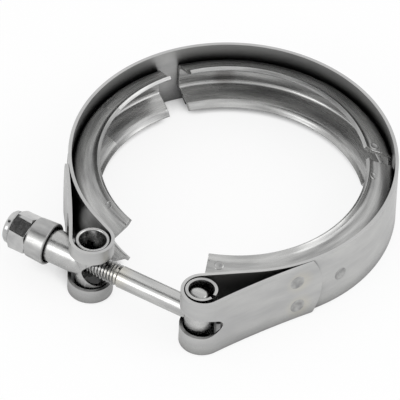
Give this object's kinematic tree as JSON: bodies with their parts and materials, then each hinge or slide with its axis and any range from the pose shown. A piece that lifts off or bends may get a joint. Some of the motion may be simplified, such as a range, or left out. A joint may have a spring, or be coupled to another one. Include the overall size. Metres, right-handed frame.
{
  "type": "v band clamp",
  "caption": "Steel v band clamp: a strip ring with v retainers inside, drawn closed by a t bolt, trunnion and lock nut.",
  "frame": {"origin": "the ring's centre at mid height, on the axis of the two flanges that the clamp holds", "axes": "+Z along the ring's axis; +X along the bolt from its nut to its T end, which both lie on the -Y side"},
  "size_m": [0.118, 0.1304, 0.0244],
  "materials": {
    "strip_steel": "rolled satin",
    "retainer_steel": "rolled satin",
    "bolt_steel": "drawn bright",
    "tube_steel": "drawn bright",
    "nut_steel": "machined bright"
  },
  "bodies": {
    "ring": {"band": "strip_steel", "retainer_rear": "retainer_steel"},
    "left_arm": {"retainer_left": "retainer_steel"},
    "right_arm": {"retainer_right": "retainer_steel"},
    "bolt": {"t_bolt": "bolt_steel", "t_tube": "tube_steel"},
    "trunnion": {"trunnion": "tube_steel"},
    "collar": {"collar": "nut_steel"},
    "nut": {"lock_nut": "nut_steel"}
  },
  "joints": [
    {"name": "left_arm_close", "type": "hinge", "parent": "ring", "child": "left_arm", "pos_m": [-0.04827, 0.03287, 0], "axis": [0, 0, 1], "range_deg": [0, 3], "deforming": ["band"]},
    {"name": "right_arm_close", "type": "hinge", "parent": "ring", "child": "right_arm", "pos_m": [0.04605, 0.03591, 0], "axis": [0, 0, 1], "range_deg": [-3, 0], "deforming": ["band"]},
    {"name": "bolt_pivot", "type": "hinge", "parent": "right_arm", "child": "bolt", "pos_m": [0.0258, -0.0633, 0], "axis": [0, 0, 1], "range_deg": [0, 2.4]},
    {"name": "trunnion_pivot", "type": "hinge", "parent": "left_arm", "child": "trunnion", "pos_m": [-0.0194, -0.0633, 0], "axis": [0, 0, 1], "range_deg": [-3.7, 0]},
    {"name": "nut_travel", "type": "slide", "parent": "bolt", "child": "collar", "axis": [1, 0, 0], "range_m": [0, 0.0102]},
    {"name": "nut_spin", "type": "hinge", "parent": "collar", "child": "nut", "pos_m": [-0.0499, -0.0633, 0], "axis": [1, 0, 0], "range_deg": [0, 2920]}
  ],
  "couplings": [
    {"joint": "left_arm_close", "follows": "nut_spin", "ratio": 0.001026},
    {"joint": "right_arm_close", "follows": "nut_spin", "ratio": -0.001026},
    {"joint": "bolt_pivot", "follows": "nut_spin", "ratio": 0.00080542},
    {"joint": "trunnion_pivot", "follows": "nut_spin", "ratio": -0.0012466},
    {"joint": "nut_travel", "follows": "nut_spin", "m_per_rad": 0.00019894}
  ]
}
